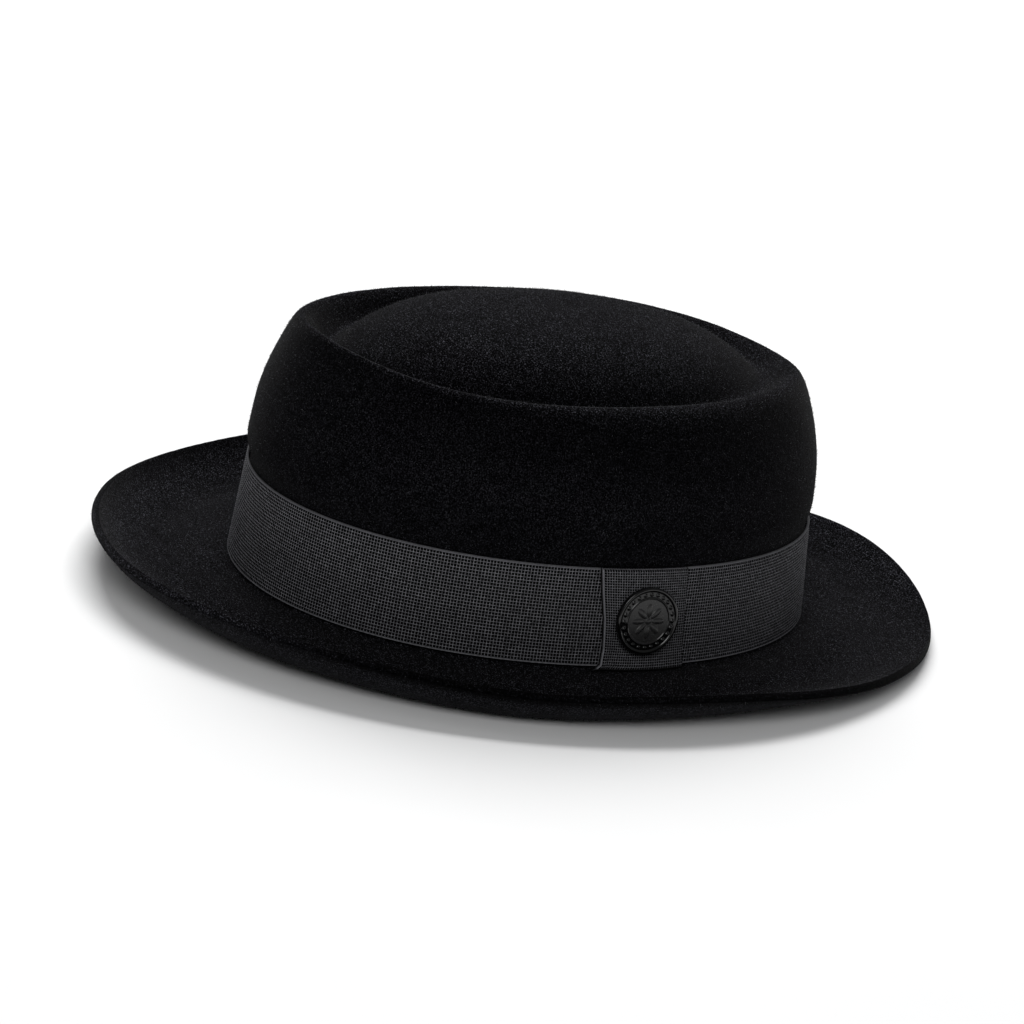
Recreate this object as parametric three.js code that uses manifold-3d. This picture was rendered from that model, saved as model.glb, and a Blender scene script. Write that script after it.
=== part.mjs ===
// A felt porkpie hat with a curled brim, a woven ribbon, a ribbon keeper and a round metal badge.
// Millimetres, +Z up. The front of the hat is at -Y and the wearer's left is at +X.
// Angles round the hat run from 0 at the front through 90 at the wearer's left to 180 at the back.
import * as THREE from 'three';
import { mergeVertices } from 'three/addons/utils/BufferGeometryUtils.js';
import Module from 'manifold-3d';

const wasm = await Module();
wasm.setup();

// Felt
const crownLength = 202.4;
const crownWidth = 169.6;
const feltThickness = 2.8;
const ridgeHeight = 80.6;
const domeHeight = 94;
const valleyDepth = 8;
const ridgeInset = 18;
const valleyRun = 10.5;
const crownTaper = 2.4;
const brimWidth = 47.8;
const breakRadius = 1.2;
const footDrop = 1.2;
const footWave = 0.5;
const restFlat = 0.4;

// Ribbon, keeper and the clearance between pieces
const clearance = 0.3;
const ribbonHeight = 32.4;
const ribbonThickness = 1;
const keeperWidth = 32;
const keeperThickness = 1.4;
const keeperAngle = 85.4;
const keeperEdge = 0.4;
const keeperSteps = 10;

// Badge: a rim, a channel of studs, a bead and a disc with petals, from the outside in
const badgeDiameter = 22.2;
const badgeThickness = 2;
const badgeRim = 1.3;
const badgeChannel = 1.8;
const badgeBead = 0.6;
const badgeRelief = 0.35;
const badgeCorner = 0.5;
const badgeStuds = 24;
const badgePetals = 8;

// How finely round shapes are divided
const stepsAround = 60;
const badgeSteps = 48;

const radians = THREE.MathUtils.degToRad;
const smooth = (x, low, high) => THREE.MathUtils.smoothstep(x, low, high);
const mix = THREE.MathUtils.lerp;

// The hat is alike on its left and right, so each table has rows at even steps from front to back.
// Lengths are shares of the size named beside them, and slopes are in degrees.
const brimTable = [
  // share of brimWidth, slope at the break, slope at the cut edge
  { at: 0, width: 1.035, dip: -4.6, curl: 52 },
  { at: 30, width: 1, dip: -8.5, curl: 63 },
  { at: 60, width: 0.975, dip: -12, curl: 63 },
  { at: 90, width: 0.95, dip: -7.5, curl: 56 },
  { at: 120, width: 0.935, dip: -2.6, curl: 24 },
  { at: 150, width: 0.93, dip: 0, curl: 14 },
  { at: 180, width: 0.92, dip: 1.2, curl: 41 },
];
const crownTable = [
  // shares of crownTaper, of the ribbon's stand-off, of ridgeInset, of ridgeHeight, of valleyDepth and of valleyRun
  { at: 0, taper: 0.75, swell: 2, inset: 0.44, ridge: 1.04, valley: 1.9, run: 0.95 },
  { at: 45, taper: 0.85, swell: 1.75, inset: 0.6, ridge: 0.997, valley: 1.15, run: 1.05 },
  { at: 90, taper: 1, swell: 1, inset: 1, ridge: 1, valley: 0.9, run: 0.97 },
  { at: 135, taper: 1.3, swell: 1.1, inset: 0.86, ridge: 1.005, valley: 0.75, run: 1.1 },
  { at: 180, taper: 1.6, swell: 0.9, inset: 0.62, ridge: 0.975, valley: 0.5, run: 1.25 },
];
const curlStart = 0.44;
const dropEnd = 0.4;

// Shape of the wall above the ribbon and of the ridge, as shares of height and of inset
const wallLean = 0.05;
const wallRise = 0.62;
const ridgeOuterFlat = 0.42;
const ridgeInnerFlat = 0.5;
const valleyFlat = 0.5;
const swellRise = [0, 0.15];
const swellFade = [0.38, 0.95];
const domeFullness = 2.5;
const domeShoulder = 0.67;

// Where the rings of the felt lie: shares of the dome's radius, of each curve and of the brim
const domeRings = [0.2, 0.42, 0.6, 0.75, 0.86, 0.94, 0.98];
const innerRings = [1, 0.8, 0.6, 0.4, 0.2];
const wallRings = [1, 0.9, 0.8, 0.7, 0.58, 0.44, 0.3, 0.15];
const breakRings = [0, 30, 60, 90];
const brimRings = [0.06, 0.14, 0.24, 0.34, 0.42, 0.48, 0.54, 0.6, 0.68, 0.78, 0.89, 1];

// The value of one column at an angle: a smooth curve through the rows, mirrored past front and back.
function column(table, name, angle) {
  const last = table.length - 1;
  const place = Math.abs(THREE.MathUtils.euclideanModulo(angle + 180, 360) - 180) / 180 * last;
  const row = Math.min(Math.floor(place), last - 1);
  const value = (i) => {
    const folded = i < 0 ? -i : i > last ? 2 * last - i : i;
    return table[folded][name];
  };
  const t = place - row;
  const [a, b, c, d] = [value(row - 1), value(row), value(row + 1), value(row + 2)];
  return 0.5 * (2 * b + (c - a) * t + (2 * a - 5 * b + 4 * c - d) * t * t + (3 * b - a - 3 * c + d) * t ** 3);
}

// A point at an angle, that far outside the oval at the foot of the crown, at that height.
function place(angle, outside, height) {
  const x = Math.sin(radians(angle)) * crownWidth / 2;
  const y = -Math.cos(radians(angle)) * crownLength / 2;
  const normal = new THREE.Vector2(x / (crownWidth / 2) ** 2, y / (crownLength / 2) ** 2).normalize();
  return new THREE.Vector3(x + normal.x * outside, y + normal.y * outside, height);
}

const footHeight = (angle) => -footWave * Math.cos(radians(2 * angle));
const ribbonStandOff = clearance + ribbonThickness;

// The crown's felt wall behind the ribbon, at a share of the ribbon's height.
function wall(angle, share, outside = 0, above = 0) {
  const taper = crownTaper * column(crownTable, 'taper', angle);
  return place(angle, outside - taper * share, footHeight(angle) + ribbonHeight * share + above);
}

function bezier(a, b, c, d, t) {
  const s = 1 - t;
  return a * s ** 3 + 3 * b * s * s * t + 3 * c * s * t * t + d * t ** 3;
}

// Outside and height of the ridge and the valley at an angle.
function crest(angle) {
  const row = (name) => column(crownTable, name, angle);
  const ridge = { outside: -ridgeInset * row('inset') - crownTaper, height: ridgeHeight * row('ridge') };
  const valley = {
    outside: ridge.outside - valleyRun * row('run'),
    height: ridge.height - valleyDepth * row('valley'),
  };
  return { ridge, valley };
}

// The wall from the ribbon's top edge over the rounding to the ridge.
function upperWall(angle, t) {
  const { ridge } = crest(angle);
  const foot = { outside: -crownTaper * column(crownTable, 'taper', angle), height: footHeight(angle) + ribbonHeight };
  const across = mix(foot.outside, ridge.outside, wallLean);
  const rise = mix(foot.height, ridge.height, wallRise);
  const flat = mix(ridge.outside, foot.outside, ridgeOuterFlat);
  const height = bezier(foot.height, rise, ridge.height, ridge.height, t);
  const up = (height - foot.height) / (ridge.height - foot.height);
  const swell = ribbonStandOff * column(crownTable, 'swell', angle)
    * smooth(up, ...swellRise) * (1 - smooth(up, ...swellFade));
  return place(angle, bezier(foot.outside, across, flat, ridge.outside, t) + swell, height);
}

function innerRidge(angle, t) {
  const { ridge, valley } = crest(angle);
  const flat = mix(ridge.outside, valley.outside, ridgeInnerFlat);
  const low = mix(valley.outside, ridge.outside, valleyFlat);
  return place(
    angle,
    bezier(ridge.outside, flat, low, valley.outside, t),
    bezier(ridge.height, ridge.height, valley.height, valley.height, t),
  );
}

const domeMiddle = new THREE.Vector3(
  0,
  (innerRidge(0, 1).y + innerRidge(180, 1).y) / 2,
  domeHeight,
);

function dome(angle, radius) {
  const foot = innerRidge(angle, 1);
  const point = domeMiddle.clone().lerp(foot, radius);
  point.z = mix(foot.z, domeHeight, (1 - radius ** domeFullness) ** domeShoulder);
  return point;
}

// The brim's upper face, followed outward along the felt from the break to the cut edge.
function brimLine(angle) {
  const width = brimWidth * column(brimTable, 'width', angle);
  const dip = column(brimTable, 'dip', angle);
  const curl = column(brimTable, 'curl', angle);
  const steps = 100;
  const points = [];
  let outside = breakRadius;
  let height = footHeight(angle);
  for (let i = 0; i <= steps; i += 1) {
    const drop = footDrop * (1 - smooth(outside, breakRadius, dropEnd * brimWidth));
    points.push({ outside, height: height - drop });
    const share = Math.max(0, ((i + 0.5) / steps - curlStart) / (1 - curlStart));
    const slope = radians(mix(dip, curl, share));
    outside += Math.cos(slope) * width / steps;
    height += Math.sin(slope) * width / steps;
  }
  return (share) => {
    const point = points[Math.round(share * steps)];
    return place(angle, point.outside, point.height);
  };
}

function breakPoint(angle, turn) {
  const base = footHeight(angle) - footDrop;
  return place(
    angle,
    breakRadius * (1 - Math.cos(radians(turn))),
    base + breakRadius * (1 - Math.sin(radians(turn))),
  );
}

// One line of the felt's outer face, from near the dome's middle out to the brim's cut edge.
function feltLine(angle) {
  const brim = brimLine(angle);
  return [
    ...domeRings.map((radius) => dome(angle, radius)),
    ...innerRings.map((t) => innerRidge(angle, t)),
    ...wallRings.map((t) => upperWall(angle, t)),
    wall(angle, 1),
    ...breakRings.map((turn) => breakPoint(angle, turn)),
    ...brimRings.map((share) => brim(share)),
  ];
}

// Joins closed loops of points, each with as many points as the next, into one closed surface.
// The ends are closed by a point each, or the last loop is joined to the first.
function skin(loops, ends) {
  const count = loops[0].length;
  const points = loops.flat();
  const faces = [];
  const strip = (a, b) => {
    for (let j = 0; j < count; j += 1) {
      const k = (j + 1) % count;
      faces.push(a * count + j, b * count + j, b * count + k, a * count + j, b * count + k, a * count + k);
    }
  };
  for (let i = 0; i + 1 < loops.length; i += 1) strip(i, i + 1);
  if (ends) {
    const [first, last] = [points.length, points.length + 1];
    const base = (loops.length - 1) * count;
    for (let j = 0; j < count; j += 1) {
      const k = (j + 1) % count;
      faces.push(first, j, k, last, base + k, base + j);
    }
    points.push(...ends);
  } else {
    strip(loops.length - 1, 0);
  }
  const geometry = new THREE.BufferGeometry().setFromPoints(points);
  const volume = faces.reduce((sum, _, i) => {
    if (i % 3) return sum;
    const [a, b, c] = [points[faces[i]], points[faces[i + 1]], points[faces[i + 2]]];
    return sum + a.dot(b.clone().cross(c));
  }, 0);
  if (volume < 0) faces.reverse();
  geometry.setIndex(faces);
  geometry.computeVertexNormals();
  return geometry;
}

const angles = Array.from({ length: stepsAround }, (_, i) => 360 * i / stepsAround);

// The felt: the outer face, and the inner face that lies one thickness below it.
function feltGeometry() {
  const lines = angles.map(feltLine);
  const rings = lines[0].map((_, i) => lines.map((line) => line[i]));
  const normal = (i, j) => {
    const [left, right] = [(j + stepsAround - 1) % stepsAround, (j + 1) % stepsAround];
    const along = rings[Math.min(i + 1, rings.length - 1)][j].clone().sub(rings[Math.max(i - 1, 0)][j]);
    const round = rings[i][right].clone().sub(rings[i][left]);
    return along.cross(round).normalize();
  };
  const inner = rings.map((ring, i) => ring.map((point, j) => (
    point.clone().addScaledVector(normal(i, j), -feltThickness)
  )));
  const under = domeMiddle.clone();
  under.z -= feltThickness;
  return skin([...rings, ...inner.reverse()], [domeMiddle, under]);
}

function ribbonGeometry() {
  const corners = [[0, 0], [1, 0], [1, 1], [0, 1]];
  return skin(corners.map(([out, up]) => angles.map((angle) => (
    wall(angle, up, clearance + ribbonThickness * out)
  ))));
}

// Millimetres of the band's outer face for each degree at the keeper.
const keeperOut = ribbonStandOff + clearance;
const perDegree = wall(keeperAngle + 0.5, 0.5, keeperOut).distanceTo(wall(keeperAngle - 0.5, 0.5, keeperOut));

function keeperGeometry() {
  const inner = keeperEdge;
  const outer = keeperThickness - keeperEdge;
  const low = 2 * clearance - footDrop;
  const high = clearance;
  // Corners of its section: how far out, how far above the ribbon's edge, and which edge.
  const corners = [
    { out: 0, up: low + keeperEdge, edge: 0 },
    { out: inner, up: low, edge: 0 },
    { out: outer, up: low, edge: 0 },
    { out: keeperThickness, up: low + keeperEdge, edge: 0 },
    { out: keeperThickness, up: high - keeperEdge, edge: 1 },
    { out: outer, up: high, edge: 1 },
    { out: inner, up: high, edge: 1 },
    { out: 0, up: high - keeperEdge, edge: 1 },
  ];
  const loops = Array.from({ length: keeperSteps + 1 }, (_, i) => {
    const angle = keeperAngle + (i / keeperSteps - 0.5) * keeperWidth / perDegree;
    return corners.map(({ out, up, edge }) => wall(angle, edge, keeperOut + out, up));
  });
  const middle = (loop) => loop.reduce((sum, p) => sum.add(p), new THREE.Vector3()).divideScalar(loop.length);
  return skin(loops, [middle(loops[0]), middle(loops[keeperSteps])]);
}

function solid(geometry) {
  const bare = geometry.clone();
  bare.deleteAttribute('normal');
  bare.deleteAttribute('uv');
  const merged = mergeVertices(bare, 1e-4);
  return new wasm.Manifold(new wasm.Mesh({
    numProp: 3,
    vertProperties: new Float32Array(merged.attributes.position.array),
    triVerts: new Uint32Array(merged.index.array),
  }));
}

function meshGeometry(body) {
  const { vertProperties, triVerts } = body.getMesh();
  const geometry = new THREE.BufferGeometry();
  geometry.setAttribute('position', new THREE.BufferAttribute(new Float32Array(vertProperties), 3));
  geometry.setIndex(new THREE.BufferAttribute(new Uint32Array(triVerts), 1));
  geometry.computeVertexNormals();
  return geometry;
}

// The badge stands on its back face at the origin and looks along +Z.
function badgeGeometry() {
  const field = badgeThickness - badgeRelief;
  const outer = badgeDiameter / 2;
  const channel = outer - badgeRim;
  const bead = channel - badgeChannel;
  const disc = bead - badgeBead;
  const profile = [
    [0, 0],
    [outer - badgeCorner, 0],
    [outer, badgeCorner],
    [outer, field],
    [outer - badgeRim * 0.25, badgeThickness - badgeRelief * 0.15],
    [outer - badgeRim * 0.5, badgeThickness],
    [outer - badgeRim * 0.8, badgeThickness - badgeRelief * 0.3],
    [channel, field],
    [bead, field],
    [bead - badgeBead * 0.25, field + badgeRelief * 0.7],
    [bead - badgeBead * 0.75, field + badgeRelief * 0.7],
    [disc, field],
    [0, field],
  ];
  const turned = new THREE.LatheGeometry(profile.map(([r, z]) => new THREE.Vector2(r, z)), badgeSteps);
  turned.rotateX(Math.PI / 2);
  let body = solid(turned);
  const stud = new THREE.CylinderGeometry(badgeChannel * 0.28, badgeChannel * 0.38, badgeRelief * 2, 6);
  stud.rotateX(Math.PI / 2);
  stud.translate((channel + bead) / 2, 0, field);
  for (let i = 0; i < badgeStuds; i += 1) {
    body = body.add(solid(stud));
    stud.rotateZ(2 * Math.PI / badgeStuds);
  }
  const petal = new THREE.SphereGeometry(1, 8, 6);
  petal.scale(disc * 0.3, disc * 0.12, badgeRelief * 0.8);
  petal.translate(disc * 0.48, 0, field);
  for (let i = 0; i < badgePetals; i += 1) {
    body = body.add(solid(petal));
    petal.rotateZ(2 * Math.PI / badgePetals);
  }
  return meshGeometry(body);
}

// Turns and moves the badge from its own origin to the middle of the keeper's face.
function badgePose() {
  const out = keeperOut + keeperThickness + clearance;
  const at = wall(keeperAngle, 0.5, out);
  const up = wall(keeperAngle, 1, out).sub(wall(keeperAngle, 0, out)).normalize();
  const round = wall(keeperAngle + 1, 0.5, out).sub(wall(keeperAngle - 1, 0.5, out)).normalize();
  const outward = round.clone().cross(up).normalize();
  return new THREE.Matrix4().makeBasis(round, up, outward).setPosition(at);
}

// The angle by which the hat leans back when its brim lies on a table: then the lowest place
// of the front half and the lowest place of the rear half are level.
function leanOf(geometry) {
  const position = geometry.attributes.position;
  let lean = 0;
  for (let pass = 0; pass < 8; pass += 1) {
    const low = [null, null];
    for (let i = 0; i < position.count; i += 1) {
      const [y, z] = [position.getY(i), position.getZ(i)];
      const height = z * Math.cos(lean) + y * Math.sin(lean);
      const half = y < 0 ? 0 : 1;
      if (!low[half] || height < low[half].height) low[half] = { height, y, z };
    }
    lean = Math.atan2(low[0].z - low[1].z, low[1].y - low[0].y);
  }
  return lean;
}

const felt = feltGeometry();
const lean = leanOf(felt);
felt.rotateX(lean);
felt.computeBoundingBox();
const middleY = (felt.boundingBox.min.y + felt.boundingBox.max.y) / 2;
const tableHeight = felt.boundingBox.min.z + restFlat;
felt.translate(0, -middleY, -tableHeight);
// Felt gives way where it rests, so the brim's underside is flat there.
for (let i = 0; i < felt.attributes.position.count; i += 1) {
  felt.attributes.position.setZ(i, Math.max(0, felt.attributes.position.getZ(i)));
}
felt.computeVertexNormals();

const feltMaterial = new THREE.MeshStandardMaterial({ color: 0x0b0b0d, roughness: 0.95, metalness: 0 });
const ribbonMaterial = new THREE.MeshStandardMaterial({ color: 0x1b1b1d, roughness: 0.7, metalness: 0 });
const badgeMaterial = new THREE.MeshStandardMaterial({ color: 0x08080a, roughness: 0.25, metalness: 0.6 });

function piece(name, geometry, material) {
  const mesh = new THREE.Mesh(geometry, material);
  mesh.name = name;
  return mesh;
}

const badge = piece('pin_badge', badgeGeometry(), badgeMaterial);
badge.applyMatrix4(badgePose());

// The trimmings are laid on the crown as it is modelled, and lean with it.
const trimmings = new THREE.Group();
trimmings.add(
  piece('ribbon_band', ribbonGeometry(), ribbonMaterial),
  piece('ribbon_keeper', keeperGeometry(), ribbonMaterial),
  badge,
);
trimmings.rotation.x = lean;
trimmings.position.set(0, -middleY, -tableHeight);

const hat = new THREE.Group();
hat.add(piece('felt_body', felt, feltMaterial), trimmings);

export default hat;
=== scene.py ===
# A black fur felt porkpie hat with a woven ribbon, a folded ribbon keeper and a round metal badge.
# Metres, +Z up. The front of the hat is at -Y and the wearer's left is at +X.
# Angles round the hat are in degrees: 0 at the front, 90 at the wearer's left, 180 at the back.
import math

import bpy
import numpy as np
from mathutils import Matrix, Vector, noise


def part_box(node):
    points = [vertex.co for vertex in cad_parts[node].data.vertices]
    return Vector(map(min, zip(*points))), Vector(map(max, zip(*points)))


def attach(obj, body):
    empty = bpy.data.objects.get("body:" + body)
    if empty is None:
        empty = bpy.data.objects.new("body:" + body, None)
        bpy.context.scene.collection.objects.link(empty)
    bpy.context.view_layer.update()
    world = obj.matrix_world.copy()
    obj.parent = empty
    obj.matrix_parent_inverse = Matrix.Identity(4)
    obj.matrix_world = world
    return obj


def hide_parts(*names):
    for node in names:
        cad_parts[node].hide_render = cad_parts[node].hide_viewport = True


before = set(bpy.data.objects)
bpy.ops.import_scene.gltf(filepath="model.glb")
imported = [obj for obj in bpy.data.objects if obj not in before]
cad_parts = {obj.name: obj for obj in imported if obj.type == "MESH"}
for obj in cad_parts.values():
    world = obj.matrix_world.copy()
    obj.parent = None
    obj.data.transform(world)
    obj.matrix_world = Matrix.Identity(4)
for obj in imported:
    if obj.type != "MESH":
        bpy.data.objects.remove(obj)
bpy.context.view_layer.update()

MM = 0.001
FULL_TURN = 2 * math.pi

# Felt
CROWN_LENGTH = 202.4 * MM
CROWN_WIDTH = 169.6 * MM
FELT_THICKNESS = 2.8 * MM
RIDGE_HEIGHT = 80.6 * MM
DOME_HEIGHT = 94 * MM
VALLEY_DEPTH = 8 * MM
RIDGE_INSET = 18 * MM
VALLEY_RUN = 10.5 * MM
CROWN_TAPER = 2.4 * MM
BRIM_WIDTH = 47.8 * MM
BREAK_RADIUS = 1.2 * MM
FOOT_DROP = 1.2 * MM
FOOT_WAVE = 0.5 * MM
EDGE_ROUND = 0.35 * MM

# Ribbon, keeper and the clearance between pieces
CLEARANCE = 0.3 * MM
RIBBON_HEIGHT = 32.4 * MM
RIBBON_THICKNESS = 1 * MM
KEEPER_WIDTH = 32 * MM
KEEPER_THICKNESS = 1.4 * MM
KEEPER_ANGLE = 85.4
RIBBON_STAND_OFF = CLEARANCE + RIBBON_THICKNESS
KEEPER_OUT = RIBBON_STAND_OFF + CLEARANCE
KEEPER_LOW = 2 * CLEARANCE - FOOT_DROP
KEEPER_HIGH = CLEARANCE
KEEPER_HEIGHT = RIBBON_HEIGHT + KEEPER_HIGH - KEEPER_LOW

# Each line holds a share or slope at even steps of angle from front to back.
BRIM_TABLE = {
    "width": (1.035, 1, 0.975, 0.95, 0.935, 0.93, 0.92),
    "dip": (-4.6, -8.5, -12, -7.5, -2.6, 0, 1.2),
    "curl": (52, 63, 63, 56, 24, 14, 41),
}
CROWN_TABLE = {
    "taper": (0.75, 0.85, 1, 1.3, 1.6),
    "swell": (2, 1.75, 1, 1.1, 0.9),
    "inset": (0.44, 0.6, 1, 0.86, 0.62),
    "ridge": (1.04, 0.997, 1, 1.005, 0.975),
    "valley": (1.9, 1.15, 0.9, 0.75, 0.5),
    "run": (0.95, 1.05, 0.97, 1.1, 1.25),
}
CURL_START = 0.44
DROP_END = 0.4
WALL_LEAN = 0.05
WALL_RISE = 0.62
RIDGE_OUTER_FLAT = 0.42
RIDGE_INNER_FLAT = 0.5
VALLEY_FLAT = 0.5
SWELL_RISE = (0, 0.15)
SWELL_FADE = (0.38, 0.95)
DOME_FULLNESS = 2.5
DOME_SHOULDER = 0.67

# Fineness of the felt, and its small unevenness as height, size of the lumps and seed
AROUND = 384
BRIM_STEPS = 200
SMOOTHING_PASSES = 14
SMOOTHED_DOME_RINGS = 12
FADE_RINGS = 7
LEAN_PASSES = 8
LUMPS = ((0.20 * MM, 34 * MM, 3.1), (0.07 * MM, 9 * MM, 7.7))
RAGGED_SHARE = 0.25
RAGGED_SIZE = 3 * MM
RAGGED_SEED = 1.3
CUT_BULGE = 1.25


def mix(a, b, t):
    return a + (b - a) * t


def smooth(x, low, high):
    t = np.clip((x - low) / (high - low), 0, 1)
    return t * t * (3 - 2 * t)


def unit(vectors, axis=-1):
    return vectors / np.linalg.norm(vectors, axis=axis, keepdims=True)


def column(table, name, angle):
    """The value at each angle: a smooth curve through the table's steps, mirrored past front and back."""
    rows = table[name]
    last = len(rows) - 1
    spot = np.abs((np.asarray(angle, float) + 180) % 360 - 180) / 180 * last
    row = np.minimum(np.floor(spot).astype(int), last - 1)
    t = spot - row
    padded = np.array([rows[1], *rows, rows[-2]], float)
    a, b, c, d = (padded[row + k] for k in range(4))
    square = 2 * a - 5 * b + 4 * c - d
    cube = 3 * b - a - 3 * c + d
    return 0.5 * (2 * b + (c - a) * t + square * t**2 + cube * t**3)


def place(angle, outside, height):
    """Points at these angles, that far outside the oval at the foot of the crown, at that height."""
    turn = np.radians(angle)
    x = np.sin(turn) * CROWN_WIDTH / 2
    y = -np.cos(turn) * CROWN_LENGTH / 2
    across = x / (CROWN_WIDTH / 2) ** 2
    along = y / (CROWN_LENGTH / 2) ** 2
    length = np.hypot(across, along)
    x = x + across / length * outside
    y = y + along / length * outside
    return np.stack(np.broadcast_arrays(x, y, height), -1)


def foot_height(angle):
    return -FOOT_WAVE * np.cos(np.radians(2 * np.asarray(angle, float)))


def wall(angle, share, outside=0.0, above=0.0):
    """The crown's felt wall behind the ribbon, at a share of the ribbon's height."""
    taper = CROWN_TAPER * column(CROWN_TABLE, "taper", angle)
    return place(angle, outside - taper * share, foot_height(angle) + RIBBON_HEIGHT * share + above)


def bezier(a, b, c, d, t):
    s = 1 - t
    return a * s**3 + 3 * b * s * s * t + 3 * c * s * t * t + d * t**3


def crest(angle):
    """Outside and height of the ridge, then of the valley."""
    ridge_out = -RIDGE_INSET * column(CROWN_TABLE, "inset", angle) - CROWN_TAPER
    ridge_up = RIDGE_HEIGHT * column(CROWN_TABLE, "ridge", angle)
    valley_out = ridge_out - VALLEY_RUN * column(CROWN_TABLE, "run", angle)
    valley_up = ridge_up - VALLEY_DEPTH * column(CROWN_TABLE, "valley", angle)
    return ridge_out, ridge_up, valley_out, valley_up


def upper_wall(angle, t):
    """The wall from the ribbon's top edge over the rounding to the ridge."""
    ridge_out, ridge_up, _, _ = crest(angle)
    foot_out = -CROWN_TAPER * column(CROWN_TABLE, "taper", angle)
    foot_up = foot_height(angle) + RIBBON_HEIGHT
    across = mix(foot_out, ridge_out, WALL_LEAN)
    rise = mix(foot_up, ridge_up, WALL_RISE)
    flat = mix(ridge_out, foot_out, RIDGE_OUTER_FLAT)
    height = bezier(foot_up, rise, ridge_up, ridge_up, t)
    up = (height - foot_up) / (ridge_up - foot_up)
    swell = RIBBON_STAND_OFF * column(CROWN_TABLE, "swell", angle)
    swell = swell * smooth(up, *SWELL_RISE) * (1 - smooth(up, *SWELL_FADE))
    return place(angle, bezier(foot_out, across, flat, ridge_out, t) + swell, height)


def inner_ridge(angle, t):
    """The slope from the ridge down into the valley."""
    ridge_out, ridge_up, valley_out, valley_up = crest(angle)
    flat = mix(ridge_out, valley_out, RIDGE_INNER_FLAT)
    low = mix(valley_out, ridge_out, VALLEY_FLAT)
    out = bezier(ridge_out, flat, low, valley_out, t)
    return place(angle, out, bezier(ridge_up, ridge_up, valley_up, valley_up, t))


def dome(angle, radius):
    """The dome, from its middle at radius 0 to the valley at 1."""
    foot = inner_ridge(angle, 1.0)
    ends = inner_ridge(np.array([0.0, 180.0]), 1.0)
    middle = np.array([0, ends[:, 1].mean(), DOME_HEIGHT])
    point = mix(middle, foot, radius)
    rise = (1 - radius**DOME_FULLNESS) ** DOME_SHOULDER
    point[..., 2] = mix(foot[..., 2], DOME_HEIGHT, rise)
    return point


def brim_lines(angle, shares):
    """The brim's upper face at these shares of the way from the break to the cut edge."""
    width = BRIM_WIDTH * column(BRIM_TABLE, "width", angle)
    dip = column(BRIM_TABLE, "dip", angle)
    curl = column(BRIM_TABLE, "curl", angle)
    middle = (np.arange(BRIM_STEPS) + 0.5) / BRIM_STEPS
    bend = np.maximum(0, (middle - CURL_START) / (1 - CURL_START))
    slope = np.radians(mix(dip[:, None], curl[:, None], bend))
    foot = foot_height(angle)[:, None]
    out = np.cumsum(np.cos(slope), 1) * width[:, None] / BRIM_STEPS + BREAK_RADIUS
    up = np.cumsum(np.sin(slope), 1) * width[:, None] / BRIM_STEPS + foot
    out = np.concatenate([np.full((len(angle), 1), BREAK_RADIUS), out], 1)
    up = np.concatenate([foot, up], 1)
    up = up - FOOT_DROP * (1 - smooth(out, BREAK_RADIUS, DROP_END * BRIM_WIDTH))
    at = np.arange(BRIM_STEPS + 1) / BRIM_STEPS
    rings = []
    for share in shares:
        outside = np.array([np.interp(share, at, row) for row in out])
        height = np.array([np.interp(share, at, row) for row in up])
        rings.append(place(angle, outside, height))
    return rings


def break_ring(angle, turn):
    """The small rounding where the wall turns into the brim."""
    base = foot_height(angle) - FOOT_DROP
    a = math.radians(turn)
    out = BREAK_RADIUS * (1 - math.cos(a))
    return place(angle, out, base + BREAK_RADIUS * (1 - math.sin(a)))


def felt_normals(rings):
    """Unit normals of a grid of rings by angles, on the felt's outer side."""
    along = np.gradient(rings, axis=0)
    around = np.roll(rings, -1, axis=1) - np.roll(rings, 1, axis=1)
    return unit(np.cross(along, around), 2)


def handmade(points, size, seed):
    """Smooth noise from about -1 to 1 at points, with lumps about that size."""
    flat = points.reshape(-1, 3) / size + seed
    return np.array([noise.noise(p) for p in flat]).reshape(points.shape[:-1])


def felt_outer():
    """The felt's outer face as rings, and the numbers of the rings at the ridge and the ribbon's edges."""
    angle = np.arange(AROUND) * 360 / AROUND
    dome_shares = [*np.linspace(0.02, 0.8, 24), *np.linspace(0.83, 0.97, 9), 0.985, 0.995]
    inner_shares = np.linspace(1, 0.07, 14)
    upper_shares = np.linspace(1, 0, 46) ** 0.9
    last_share = 1 - EDGE_ROUND / (BRIM_WIDTH * 0.95)
    brim_shares = [*np.linspace(0.012, 0.985, 46), last_share]
    rings = [dome(angle, r) for r in dome_shares]
    rings += [inner_ridge(angle, t) for t in inner_shares]
    crest_at = len(rings)
    rings += [upper_wall(angle, t) for t in upper_shares[:-1]]
    band_top = len(rings)
    rings += [wall(angle, s) for s in np.linspace(1, 0, 5)[:-1]]
    rings += [break_ring(angle, turn) for turn in (0, 22, 45, 67, 90)]
    band_foot = len(rings)
    rings += brim_lines(angle, brim_shares)
    rings = np.stack(rings)

    # The corner at the bottom of the valley is rounded off.
    start, stop = len(dome_shares) - SMOOTHED_DOME_RINGS, crest_at - 1
    for _ in range(SMOOTHING_PASSES):
        beside = rings[start - 1:stop - 1] + rings[start + 1:stop + 1]
        rings[start:stop] = 0.5 * rings[start:stop] + 0.25 * beside

    # Where the ribbon lies the felt stays even, and the lumps fade in above and below it.
    free = np.ones(len(rings))
    free[band_top - 2:band_foot + 3] = 0
    padded = np.pad(free, FADE_RINGS // 2, mode="edge")
    free = np.convolve(padded, np.ones(FADE_RINGS) / FADE_RINGS, mode="valid") * (free > 0)
    lumps = sum(height * handmade(rings, size, seed) for height, size, seed in LUMPS)
    rings = rings + felt_normals(rings) * (lumps * free[:, None])[..., None]
    return rings, crest_at, band_top, band_foot


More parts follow.
